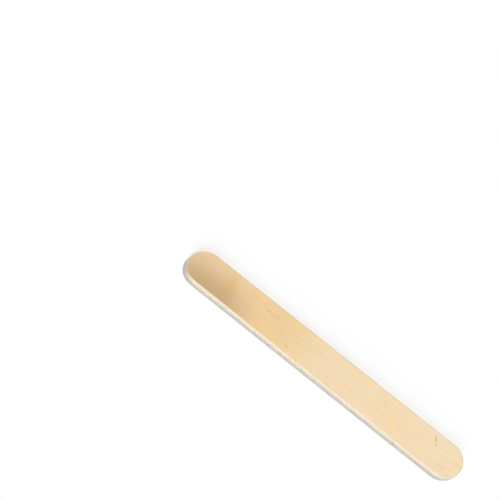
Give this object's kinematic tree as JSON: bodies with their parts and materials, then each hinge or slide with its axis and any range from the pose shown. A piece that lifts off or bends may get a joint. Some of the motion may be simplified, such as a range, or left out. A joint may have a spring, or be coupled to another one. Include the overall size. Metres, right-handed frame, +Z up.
{
  "type": "tongue depressor",
  "caption": "Flat wooden tongue depressor: a thin straight birch blade with full round ends and eased edges.",
  "frame": {"origin": "middle of the underside, midway along and across the blade", "axes": "+X along the blade, +Y across it, +Z up from the underside to the top face"},
  "size_m": [0.15, 0.018, 0.0018],
  "materials": {
    "birch": "unfinished rotary-cut birch veneer, smooth and satin from tumbling"
  },
  "bodies": {
    "root": {"blade": "birch"}
  },
  "joints": []
}
